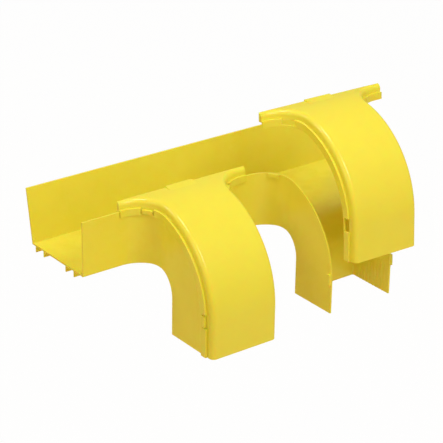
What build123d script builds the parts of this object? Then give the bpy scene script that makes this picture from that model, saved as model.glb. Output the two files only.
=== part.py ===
"""Fibre raceway fitting: an open channel with two spouts that turn down, and a clip-on cover for each.

Millimetres. X runs along the channel, the back wall is at positive Y, the spouts reach to
negative Y and Z is up. The origin is under the middle of the channel's floor.
"""
import os
from math import hypot

from build123d import *

# Channel
wall = 3.0
channel_height = 104.0
channel_width = 184.0  # across the tops of the walls
back_lean = 18.0  # how far the back wall leans out over its height
end_reach = 209.5  # from each end of the channel to the middle of the nearer spout
back_corner = 7.0  # inside radius between the floor and the back wall
edge_chamfer = 1.0  # outside, between the floor and the walls in front
root_chamfer = 2.0  # inside, there
rib_height = 11.0
rib_thickness = 2.5
inner_rib_place = 36.0  # each side of the channel's middle
outer_rib_place = 62.0

# Spouts
spout_pitch = 280.0
spout_width = 143.0
flare_radius = 56.0  # of a spout's wall where it meets the front of the channel
drop_reach = 71.0  # from the front of the channel to the back of the drop
spout_depth = 102.0  # from the back of the drop to the open edges
inner_bend = 51.0
outer_bend = 165.0
drop = 122.5  # from the underside of the floor to the foot of the spout

# Latch tabs outside the open edges of the spouts, and the windows for them in the covers
latch_proud = 4.3
latch_depth = 7.0
upper_latch_angle = 48.0  # place round the flare, from the front of the channel
upper_latch_length = 19.0
lower_latch_length = 21.0
lower_latch_height = -55.0
window_room = 1.0  # spare space under a latch
window_length_room = 4.5  # spare length of a window, both ends together

# Ridges inside the feet of the spouts
ridge_count = 9
ridge_pitch = 9.0
ridge_width = 1.6
ridge_proud = 0.8
ridge_length = 62.0
ridge_start = 14.0  # from the back of the drop to the first ridge

# Covers
cover_wall = 3.0
crown_rise = 18.0  # top of the cover above the open edges of the spout
crown_inset = 1.0  # crown's side, in from the outside of the spout's wall
crown_corner = 9.0
hollow_corner = 4.0  # chamfer inside the crown's corner
ledge = 3.0
skirt_wall = 3.0
skirt_depth = 10.0  # how far the skirt hangs past the open edges
skirt_clearance = 0.5
seat_clearance = 0.3
left_ear = 132.5  # from the middle of a cover to the end of its ear
right_ear = 143.0
cover_overhang = 8.0  # how far the cover's back edge passes the front of the channel
foot_overhang = 1.0  # how far the cover's foot passes the foot of the spout
lip_width = 58.0
lip_rise = 2.2
lip_run = 16.0
lip_reach = 2.0

# How the right cover is held off its seat
lift = (16.0, -21.5, 108.0)
lift_turn = (-3.9, 0.0, -1.8)

# Derived places
front = channel_width / 2
back_slope = back_lean / channel_height
half_length = end_reach + spout_pitch / 2
spout_places = (-spout_pitch / 2, spout_pitch / 2)
flare_end = front + flare_radius
drop_back = front + drop_reach
open_reach = drop_back + spout_depth
past = 5.0  # how far a cutting solid runs past an open side
cover_strip = left_ear + right_ear
far = 4 * (half_length + open_reach)
tiny = 0.001


def back_y(z, inset):
    """Place of the back wall's face at height z, moved in by inset."""
    return front - back_lean + z * back_slope - inset * hypot(1, back_slope)


def plan(grow, places, half_strip):
    """A strip behind the front of the channel with flared spouts at places, its outline moved out by grow."""
    near = -front - grow
    with BuildSketch() as outline:
        with Locations((0, near + far / 2)):
            Rectangle(2 * half_strip, far)
        with Locations(*[(place, near) for place in places]):
            Rectangle(spout_width + 2 * grow, far, align=(Align.CENTER, Align.MAX))
        mouths = outline.vertices().filter_by(lambda v: abs(v.Y - near) < tiny and abs(v.X) < half_strip - tiny)
        fillet(mouths, flare_radius - grow)
    return outline.sketch


def within_rim(out):
    """Side view, Y across and Z up, of all that lies inside the spouts' open edges moved out by out."""
    with BuildSketch() as region:
        with Locations((far / 2 - open_reach - out, channel_height + out - far / 2)):
            Rectangle(far, far)
        fillet(region.vertices().group_by(Axis.X)[0].sort_by(Axis.Y)[-1], outer_bend + out)
    return region.sketch


def bent_distance(point, straight_y, level_z, radius):
    """Distance of a point from a surface that is level, turns down round a bend and drops."""
    centre_y = straight_y + radius
    centre_z = level_z - radius
    if point.Y > centre_y:
        return abs(point.Z - level_z)
    if point.Z < centre_z:
        return abs(point.Y - straight_y)
    return abs(hypot(point.Y - centre_y, point.Z - centre_z) - radius)


def outline_edges(solid, grow, half_strip, straight_y, level_z, radius):
    """Edges of a solid where the walls of its plan meet a surface that turns down round a bend."""

    def wanted(edge):
        middle = edge @ 0.5
        level = abs((edge % 0.5).X) > 1 - tiny
        on_front = abs(middle.Y + front + grow) < tiny
        on_side = middle.Y < -front - grow and not level
        on_surface = bent_distance(middle, straight_y, level_z, radius) < tiny
        return on_surface and abs(middle.X) < half_strip - tiny and (on_side or (on_front and level))

    return solid.edges().filter_by(wanted)


def trough(inset, edge):
    """Solid of the channel and spouts, floor and walls moved in by inset, open sides run on, edges chamfered."""
    half_strip = half_length + past
    straight_y = -drop_back - inset
    with BuildPart() as form:
        with BuildSketch():
            add(plan(-inset, spout_places, half_strip))
        extrude(amount=far, both=True)
        with BuildSketch(Plane.YZ) as section:
            top = channel_height + past
            foot = -drop - past
            with BuildLine():
                Polyline(
                    (-open_reach - past, top),
                    (back_y(top, inset), top),
                    (back_y(inset, inset), inset),
                    (straight_y, inset),
                    (straight_y, foot),
                    (-open_reach - past, foot),
                    close=True,
                )
            make_face()
            corners = section.vertices().filter_by(lambda v: abs(v.Y - inset) < tiny).sort_by(Axis.X)
            fillet(corners[0], inner_bend + inset)
            fillet(corners[1], back_corner + wall - inset)
        extrude(amount=far, both=True, mode=Mode.INTERSECT)
        feet = outline_edges(form, -inset, half_strip, straight_y, inset, inner_bend + inset)
        chamfer(feet, edge)
    return form.part


def latch_blocks(inner, outer, low, high, room):
    """Blocks at a spout's four latches, from inner to outer in plan, low to high at the rim, room longer."""
    with BuildSketch() as from_above:
        add(plan(outer, (0,), flare_end))
        add(plan(inner, (0,), flare_end), mode=Mode.SUBTRACT)
    with BuildSketch() as places:
        for side in (-1, 1):
            centre = (side * (spout_width / 2 + flare_radius), -flare_end)
            with Locations(Location(centre, 90 + side * upper_latch_angle)):
                Rectangle(2 * flare_radius, upper_latch_length + room, align=(Align.MIN, Align.CENTER))
        with Locations((0, -flare_end)):
            Rectangle(far, far, align=(Align.CENTER, Align.MAX))
    with BuildPart() as blocks:
        with BuildSketch():
            add(from_above)
            add(places, mode=Mode.INTERSECT)
        extrude(amount=far, both=True)
        with BuildSketch(Plane.YZ):
            with Locations((-flare_end, 0)):
                Rectangle(far, far, align=(Align.MIN, Align.MIN))
            with Locations((-flare_end, lower_latch_height)):
                Rectangle(far, lower_latch_length + room, align=(Align.MAX, Align.CENTER))
            add(within_rim(high), mode=Mode.INTERSECT)
            add(within_rim(low), mode=Mode.SUBTRACT)
        extrude(amount=far, both=True, mode=Mode.INTERSECT)
    return blocks.part


def cover_form(grow, out):
    """Solid that fills a cover, its outline moved out by grow and its top and front by out."""
    with BuildPart() as form:
        with BuildSketch():
            add(plan(grow, (0,), cover_strip))
        extrude(amount=far, both=True)
        with BuildSketch(Plane.YZ):
            add(within_rim(out))
        extrude(amount=far, both=True, mode=Mode.INTERSECT)
    return form.part


def crown_form(grow, out, soften, corner, end_inset):
    """Cover form between the ears' ends moved in by end_inset, its corners softened by fillet or chamfer."""
    with BuildPart() as form:
        add(cover_form(grow, out))
        corners = outline_edges(form, grow, cover_strip, -open_reach - out, channel_height + out, outer_bend + out)
        soften(corners, corner)
        with BuildSketch(Plane.XY.offset(-far)):
            add(between_ears(end_inset))
        extrude(amount=2 * far, mode=Mode.INTERSECT)
    return form.part


def between_ears(inset):
    """Plan of the space between the ends of a cover's ears, moved in by inset."""
    with BuildSketch() as space:
        with Locations(((right_ear - left_ear) / 2, 0)):
            Rectangle(left_ear + right_ear - 2 * inset, far)
    return space.sketch


def spout_cover():
    """Cover of the spout whose middle is at X = 0."""
    skirt_grow = skirt_clearance + skirt_wall
    hollow_grow = -crown_inset - cover_wall
    hollow_out = crown_rise - cover_wall
    with BuildPart() as cover:
        add(crown_form(-crown_inset, crown_rise, fillet, crown_corner, 0))
        add(cover_form(skirt_grow, ledge))
        add(crown_form(hollow_grow, hollow_out, chamfer, hollow_corner, cover_wall), mode=Mode.SUBTRACT)
        add(cover_form(skirt_clearance, seat_clearance), mode=Mode.SUBTRACT)
        with BuildSketch(Plane.YZ):
            add(within_rim(-skirt_depth))
        extrude(amount=far, both=True, mode=Mode.SUBTRACT)
        windows = latch_blocks(
            -crown_inset, skirt_grow + past, -latch_depth - window_room, ledge + past, window_length_room
        )
        add(windows, mode=Mode.SUBTRACT)
        with BuildSketch(Plane.XY.offset(-drop - foot_overhang)):
            add(between_ears(0))
            with Locations((0, -front + cover_overhang)):
                Rectangle(far, far, align=(Align.CENTER, Align.MAX), mode=Mode.INTERSECT)
        extrude(amount=far, mode=Mode.INTERSECT)
        with BuildSketch(Plane.YZ.offset(-lip_width / 2)):
            top = channel_height + crown_rise
            back = -front + cover_overhang
            with BuildLine():
                Polyline(
                    (back - lip_run, top),
                    (back, top + lip_rise),
                    (back + lip_reach, top + lip_rise),
                    (back + lip_reach, top - cover_wall),
                    (back - lip_run, top - cover_wall),
                    close=True,
                )
            make_face()
        extrude(amount=lip_width)
    return cover.part


with BuildPart() as raceway_body:
    add(trough(0, edge_chamfer))
    add(trough(wall, root_chamfer), mode=Mode.SUBTRACT)
    with BuildSketch(Plane.YZ):
        add(within_rim(0))
    extrude(amount=half_length, both=True, mode=Mode.INTERSECT)
    with BuildSketch(Plane.XY.offset(-drop)):
        Rectangle(far, far)
    extrude(amount=far, mode=Mode.INTERSECT)
    with BuildSketch(Plane.YZ.offset(-half_length)):
        for place in (inner_rib_place, outer_rib_place):
            with Locations((-place, wall / 2), (place, wall / 2)):
                Rectangle(rib_thickness, rib_height + wall / 2, align=(Align.CENTER, Align.MAX))
    extrude(amount=2 * half_length)
    with Locations(*[(place, 0) for place in spout_places]):
        add(latch_blocks(-wall / 2, latch_proud, -latch_depth, 0, 0))
    with BuildSketch(Plane.XY.offset(-drop)):
        for number in range(ridge_count):
            y = -drop_back - ridge_start - number * ridge_pitch
            x = spout_width / 2 - wall
            with Locations(*[(place + side * x, y) for place in spout_places for side in (-1, 1)]):
                Rectangle(2 * ridge_proud, ridge_width)
    extrude(amount=ridge_length)
raceway_body.part.label = "raceway_body"

with BuildPart() as left_cover:
    with Locations((spout_places[0], 0)):
        add(spout_cover())
left_cover.part.label = "left_cover"

with BuildPart() as right_cover:
    middle = Vector(0, -drop_back, channel_height / 2)
    held = Vector(spout_places[1]) + middle + Vector(*lift)
    turn = Rotation(0, 0, lift_turn[2]) * Rotation(0, lift_turn[1], 0) * Rotation(lift_turn[0], 0, 0)
    with Locations(Location(held) * turn * Location(-middle)):
        add(spout_cover())
right_cover.part.label = "right_cover"

os.makedirs("parts", exist_ok=True)
export_step(raceway_body.part, "parts/raceway_body.step")
export_step(left_cover.part, "parts/left_cover.step")
export_step(right_cover.part, "parts/right_cover.step")
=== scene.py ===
"""Looks of the fibre raceway fitting: channel, seated cover and the cover held above its spout.

Lengths are in metres unless they say otherwise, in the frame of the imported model: X along the
channel, the spouts towards negative Y, Z up.
"""

import logging
import math
from dataclasses import dataclass
from enum import Enum
from typing import Any

import bpy
from mathutils import Matrix, Vector

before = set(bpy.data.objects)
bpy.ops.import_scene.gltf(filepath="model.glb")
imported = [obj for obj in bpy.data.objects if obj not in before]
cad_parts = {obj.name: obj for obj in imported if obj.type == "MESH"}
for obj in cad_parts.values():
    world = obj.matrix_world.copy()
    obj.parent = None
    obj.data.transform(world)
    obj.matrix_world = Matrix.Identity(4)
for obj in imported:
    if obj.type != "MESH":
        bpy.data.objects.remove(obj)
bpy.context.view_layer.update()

log = logging.getLogger("raceway")

Colour = tuple[float, float, float, float]
Triple = tuple[float, float, float]
Inputs = dict[str | int, Any]

MILLIMETRE = 0.001
WHITE = (1.0, 1.0, 1.0, 1.0)
MIRRORED = 0.06  # share of the white surroundings that glossy plastic reflects
MIX_FIRST, MIX_SECOND, MIX_RESULT = 6, 7, 2  # places of a Mix node's sockets for colours


class Operation(Enum):
    """Sums that a Math or Vector Math node does on two values."""

    ADD = "ADD"
    SUBTRACT = "SUBTRACT"
    MULTIPLY = "MULTIPLY"


class Surface(Enum):
    """How the face of the mould was finished, as the strength of the grain that it leaves."""

    POLISHED = 0.35
    SATIN = 1.0


@dataclass(frozen=True)
class Socket:
    """A value inside a shader, on which Python's operators add Math nodes.

    Attributes:
        shader: The shader that the value belongs to.
        plug: The node's output that gives it.
    """

    shader: "Shader"
    plug: bpy.types.NodeSocket

    def _math(self, operation: Operation, first: Any, second: Any) -> "Socket":
        """Adds a Math node.

        Args:
            operation: The sum to do.
            first: A number or a socket.
            second: A number or a socket.

        Returns:
            The result.
        """
        return self.shader.read(
            "ShaderNodeMath", 0, {0: first, 1: second}, operation=operation.value
        )

    def __add__(self, other: Any) -> "Socket":
        """Sum with a number or a socket."""
        return self._math(Operation.ADD, self, other)

    __radd__ = __add__

    def __sub__(self, other: Any) -> "Socket":
        """This value less a number or a socket."""
        return self._math(Operation.SUBTRACT, self, other)

    def __rsub__(self, other: Any) -> "Socket":
        """A number less this value."""
        return self._math(Operation.SUBTRACT, other, self)

    def __mul__(self, other: Any) -> "Socket":
        """Product with a number or a socket."""
        return self._math(Operation.MULTIPLY, self, other)

    __rmul__ = __mul__


class Shader:
    """Adds nodes to the node tree of a material or a world."""

    def __init__(self, owner: bpy.types.ID) -> None:
        """Empties the owner's node tree.

        Args:
            owner: A material or a world.
        """
        owner.use_nodes = True
        self.tree = owner.node_tree
        self.tree.nodes.clear()

    def node(self, kind: str, inputs: Inputs, **settings: Any) -> bpy.types.Node:
        """Adds a node.

        Args:
            kind: The node's type.
            inputs: A value or a link for each of its sockets, by name or place.
            settings: Its properties, which are set first.

        Returns:
            The new node.
        """
        made = self.tree.nodes.new(kind)
        for name, setting in settings.items():
            setattr(made, name, setting)
        for key, given in inputs.items():
            if isinstance(given, Socket):
                self.tree.links.new(given.plug, made.inputs[key])
            else:
                made.inputs[key].default_value = given
        return made

    def read(
        self, kind: str, output: str | int, inputs: Inputs | None = None, **settings: Any
    ) -> Socket:
        """Adds a node and gives one of its outputs.

        Args:
            kind: The node's type.
            output: The output, by name or place.
            inputs: A value or a link for each of its sockets.
            settings: Its properties.

        Returns:
            The output.
        """
        return Socket(self, self.node(kind, inputs or {}, **settings).outputs[output])

    def noise(self, place: Socket, size: float, detail: float) -> Socket:
        """Even noise from 0 to 1 whose patches are about one size.

        Args:
            place: The point in the object's space.
            size: Size of a patch.
            detail: How many finer layers it has.

        Returns:
            The noise.
        """
        return self.read(
            "ShaderNodeTexNoise", 0, {"Vector": place, "Scale": 1 / size, "Detail": detail}
        )

    def mix(self, share: Socket, first: Colour, second: Colour) -> Socket:
        """Mixes two colours.

        Args:
            share: Share of the second colour, from 0 to 1.
            first: The colour at 0.
            second: The colour at 1.

        Returns:
            The mixed colour.
        """
        inputs = {0: share, MIX_FIRST: first, MIX_SECOND: second}
        return self.read("ShaderNodeMix", MIX_RESULT, inputs, data_type="RGBA")

    def seen(self) -> Socket:
        """How white the surroundings are to a ray.

        Returns:
            1 for what the camera sees, straight or through glass, MIRRORED for what glossy plastic
            reflects, and 0 for the light on the object.
        """
        path = self.node("ShaderNodeLightPath", {})
        camera, glossy, through = (
            Socket(self, path.outputs[f"Is {ray} Ray"])
            for ray in ("Camera", "Glossy", "Transmission")
        )
        return camera + glossy * MIRRORED + through


@dataclass(frozen=True)
class MouldedPlastic:
    """Through-coloured plastic as it comes from the mould: faintly uneven, with softened edges.

    Attributes:
        name: Name of the material.
        colour: Colour of the plastic, linear.
        deep_colour: Colour of its slightly denser patches.
        surface: Finish of the mould's face.
        roughness: Mean roughness.
        roughness_range: How far the roughness wanders.
        gloss: Strength of its reflections, where 0.5 is the shader's usual.
        depth_share: Share of the light that enters the plastic before it leaves again.
        depth_colour: How far each of red, green and blue wanders in it, as shares of depth.
        depth: Greatest way of light in the plastic.
        cloud_size: Size of the patches in the colour.
        grain_size: Size of the grain that the mould's face leaves.
        grain_depth: Depth of that grain, in millimetres.
        sway_size: Size of the slow waves in its large faces.
        sway_depth: Depth of those waves, in millimetres.
        edge_radius: How far its edges are softened.
        edge_samples: Rays that find the edges near a point.
        refraction: Index of refraction, the usual one for such plastic.
        offset: Start of the pattern, so that no two pieces share one.
    """

    name: str
    colour: Colour = (0.848, 0.778, 0.074, 1.0)
    deep_colour: Colour = (0.824, 0.75, 0.069, 1.0)
    surface: Surface = Surface.SATIN
    roughness: float = 0.28
    roughness_range: float = 0.08
    gloss: float = 0.36
    depth_share: float = 0.45
    depth_colour: Triple = (1.0, 0.12, 0.02)
    depth: float = 0.004
    cloud_size: float = 0.09
    grain_size: float = 0.0007
    grain_depth: float = 0.012
    sway_size: float = 0.055
    sway_depth: float = 0.07
    edge_radius: float = 0.0004
    edge_samples: int = 6
    refraction: float = 1.5
    offset: Triple = (0.0, 0.0, 0.0)

    def material(self) -> bpy.types.Material:
        """Makes the material.

        Returns:
            The material.
        """
        made = bpy.data.materials.new(self.name)
        shader = Shader(made)
        point = shader.read("ShaderNodeTexCoord", "Object")
        place = shader.read(
            "ShaderNodeVectorMath", 0, {0: point, 1: self.offset}, operation=Operation.ADD.value
        )
        cloud = shader.noise(place, self.cloud_size, detail=3.0)
        grain = shader.noise(place, self.grain_size, detail=2.0)
        sway = shader.noise(place, self.sway_size, detail=1.0)
        colour = shader.mix(cloud, self.deep_colour, self.colour)
        roughness = (cloud + grain - 1.0) * self.roughness_range + self.roughness
        height = grain * (self.grain_depth * self.surface.value) + sway * self.sway_depth
        edges = shader.read(
            "ShaderNodeBevel", "Normal", {"Radius": self.edge_radius}, samples=self.edge_samples
        )
        normal = shader.read(
            "ShaderNodeBump", "Normal",
            {"Strength": 1.0, "Distance": MILLIMETRE, "Height": height, "Normal": edges},
        )
        plastic = shader.read(
            "ShaderNodeBsdfPrincipled", "BSDF",
            {
                "Base Color": colour, "Roughness": roughness, "Normal": normal,
                "IOR": self.refraction, "Specular IOR Level": self.gloss,
                "Subsurface Weight": self.depth_share, "Subsurface Radius": self.depth_colour,
                "Subsurface Scale": self.depth,
            },
        )
        shader.node("ShaderNodeOutputMaterial", {"Surface": plastic})
        return made


@dataclass(frozen=True)
class CoverPlastic(MouldedPlastic):
    """The same plastic in the covers, which are shinier than the body.

    Attributes:
        surface: Finish of the mould's face.
        roughness: Mean roughness.
        gloss: Strength of its reflections.
    """

    surface: Surface = Surface.POLISHED
    roughness: float = 0.22
    gloss: float = 0.45


@dataclass
class Moulding:
    """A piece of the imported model, which keeps its shape and gets its looks here.

    Attributes:
        node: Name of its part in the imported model.
        finish: The plastic that it is moulded in.
    """

    node: str
    finish: MouldedPlastic

    def dress(self) -> bpy.types.Object:
        """Gives the piece its finish.

        Returns:
            The dressed piece.
        """
        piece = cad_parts[self.node]
        piece.material_slots[0].material = self.finish.material()
        return piece


@dataclass
class RacewayBody(Moulding):
    """The channel with its two spouts, one moulding.

    Attributes:
        node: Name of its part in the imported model.
        finish: The plastic that it is moulded in.
    """

    node: str = "raceway_body"
    finish: MouldedPlastic = MouldedPlastic("body_plastic")


@dataclass
class SpoutCover(Moulding):
    """A clip-on cover of a spout.

    Attributes:
        finish: The shinier plastic that it is moulded in.
    """

    finish: CoverPlastic


@dataclass
class Floor:
    """Pale studio floor, well below the fitting, which hangs as it does over a rack.

    Attributes:
        half_side: Half the side of the square.
        level: Its height.
        colour: Its colour.
        whitened: Share of plain white in it where the camera sees it.
    """

    half_side: float = 14.0
    level: float = -0.6
    colour: Colour = (0.82, 0.72, 0.5, 1.0)
    whitened: float = 0.98

    def build(self) -> bpy.types.Object:
        """Makes the floor.

        Returns:
            The floor.
        """
        mesh = bpy.data.meshes.new("floor")
        side = self.half_side
        corners = [(-side, -side, 0.0), (side, -side, 0.0), (side, side, 0.0), (-side, side, 0.0)]
        mesh.from_pydata(corners, [], [(0, 1, 2, 3)])
        floor = bpy.data.objects.new("floor", mesh)
        floor.location = (0.0, 0.0, self.level)
        bpy.context.scene.collection.objects.link(floor)
        mesh.materials.append(self.material())
        return floor

    def material(self) -> bpy.types.Material:
        """Makes the floor's paint, white to the camera, clear from below.

        Returns:
            The material.
        """
        made = bpy.data.materials.new("floor_paint")
        shader = Shader(made)
        matt = shader.read("ShaderNodeBsdfDiffuse", 0, {"Color": self.colour})
        white = shader.read("ShaderNodeEmission", 0, {"Strength": 1.0})
        whiteness = shader.seen() * self.whitened
        top = shader.read("ShaderNodeMixShader", 0, {0: whiteness, 1: matt, 2: white})
        clear = shader.read("ShaderNodeBsdfTransparent", 0)
        below = shader.read("ShaderNodeNewGeometry", "Backfacing")
        both = shader.read("ShaderNodeMixShader", 0, {0: below, 1: top, 2: clear})
        shader.node("ShaderNodeOutputMaterial", {"Surface": both})
        return made


@dataclass(frozen=True)
class Softbox:
    """A large soft studio lamp, aimed at the fitting.

    Attributes:
        name: Name of the lamp.
        place: Where it stands.
        size: Side of its square face.
        power: Its power, in watts.
        colour: Colour of its light.
        mirrored: Whether glossy plastic reflects it.
    """

    name: str
    place: Triple
    size: float
    power: float
    colour: Triple = (1.0, 1.0, 1.0)
    mirrored: bool = True

    def build(self, aim: Vector) -> bpy.types.Object:
        """Hangs the lamp.

        Args:
            aim: The point that it faces.

        Returns:
            The lamp.
        """
        light = bpy.data.lights.new(self.name, "AREA")
        light.shape = "SQUARE"
        light.size = self.size
        light.energy = self.power
        light.color = self.colour
        lamp = bpy.data.objects.new(self.name, light)
        lamp.location = self.place
        lamp.visible_glossy = self.mirrored
        lamp.rotation_mode = "QUATERNION"
        lamp.rotation_quaternion = (aim - Vector(self.place)).to_track_quat("-Z", "Y")
        bpy.context.scene.collection.objects.link(lamp)
        return lamp


@dataclass
class Studio:
    """Even surroundings, white to the camera and a warm fill on the fitting, with soft lamps.

    Attributes:
        surroundings: Strength of the light from all round.
        fill: Colour of that light, warmer than the lamps.
        lamps: The soft lamps.
        aim: The point that the lamps face.
    """

    surroundings: float = 0.39
    fill: Colour = (1.0, 0.79, 0.48, 1.0)
    lamps: tuple[Softbox, ...] = (
        Softbox("overhead_softbox", (-0.2, -0.2, 2.6), 0.8, 21.5),
        Softbox("high_front_softbox", (0.3, -2.0, 2.2), 1.0, 23.5),
        Softbox("low_front_softbox", (0.3, -3.0, 1.1), 1.6, 14.0, mirrored=False),
        Softbox("left_softbox", (-2.4, -0.9, 1.3), 1.2, 12.5, (1.0, 0.84, 0.58)),
        Softbox("rear_softbox", (0.2, 2.8, 1.2), 1.4, 11.0),
        Softbox("back_left_softbox", (-1.9, 0.9, 2.2), 0.5, 8.0),
    )
    aim: Triple = (0.0, -0.1, 0.05)

    def build(self) -> list[bpy.types.Object]:
        """Lights the scene.

        Returns:
            The lamps.
        """
        world = bpy.data.worlds.new("studio")
        shader = Shader(world)
        seen = shader.seen()
        colour = shader.mix(seen, self.fill, WHITE)
        strength = seen * (1.0 - self.surroundings) + self.surroundings
        light = shader.read("ShaderNodeBackground", 0, {"Color": colour, "Strength": strength})
        shader.node("ShaderNodeOutputWorld", {"Surface": light})
        bpy.context.scene.world = world
        bpy.context.scene.view_settings.view_transform = "Standard"
        return [lamp.build(Vector(self.aim)) for lamp in self.lamps]


@dataclass
class PhotoCamera:
    """Camera at the photograph's viewing angle.

    Attributes:
        target: The point in the middle of the picture.
        distance: From that point to the camera.
        yaw: Turn of the view from the channel's cross direction towards its right end, in degrees.
        pitch: How far the view looks down, in degrees.
        roll: Tilt of the camera about its view, in degrees.
        lens: Focal length, in millimetres.
        sensor: Width of the sensor, in millimetres.
        reach: How far the camera sees.
    """

    target: Triple = (-0.01312, -0.04365, 0.0)
    distance: float = 3.5471
    yaw: float = 37.34
    pitch: float = 24.59
    roll: float = 0.89
    lens: float = 155.97
    sensor: float = 36.0
    reach: float = 50.0

    def build(self) -> bpy.types.Object:
        """Places the camera.

        Returns:
            The camera.
        """
        yaw, pitch, roll = (math.radians(angle) for angle in (self.yaw, self.pitch, self.roll))
        ahead = Vector((
            math.sin(yaw) * math.cos(pitch), math.cos(yaw) * math.cos(pitch), -math.sin(pitch)
        ))
        level = Vector((math.cos(yaw), -math.sin(yaw), 0.0))
        upright = level.cross(ahead)
        right = math.cos(roll) * level + math.sin(roll) * upright
        up = math.cos(roll) * upright - math.sin(roll) * level
        data = bpy.data.cameras.new("photo_camera")
        data.lens = self.lens
        data.sensor_width = self.sensor
        data.clip_end = self.reach
        camera = bpy.data.objects.new("photo_camera", data)
        turn = Matrix((right, up, -ahead)).transposed().to_4x4()
        camera.matrix_world = Matrix.Translation(Vector(self.target) - ahead * self.distance) @ turn
        bpy.context.scene.collection.objects.link(camera)
        bpy.context.scene.camera = camera
        return camera


def main() -> None:
    """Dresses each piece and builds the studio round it."""
    logging.basicConfig(level=logging.INFO, format="%(message)s")
    assemblies = (
        RacewayBody(),
        SpoutCover("left_cover", CoverPlastic("left_cover_plastic", offset=(3.1, 1.7, 0.4))),
        SpoutCover("right_cover", CoverPlastic("right_cover_plastic", offset=(7.3, 2.9, 5.2))),
    )
    for assembly in assemblies:
        piece = assembly.dress()
        log.info("dressed %s with %s", piece.name, piece.material_slots[0].material.name)
    log.info("built %s", Floor().build().name)
    for lamp in Studio().build():
        log.info("hung %s", lamp.name)
    log.info("placed %s", PhotoCamera().build().name)


if __name__ == "__main__":
    main()
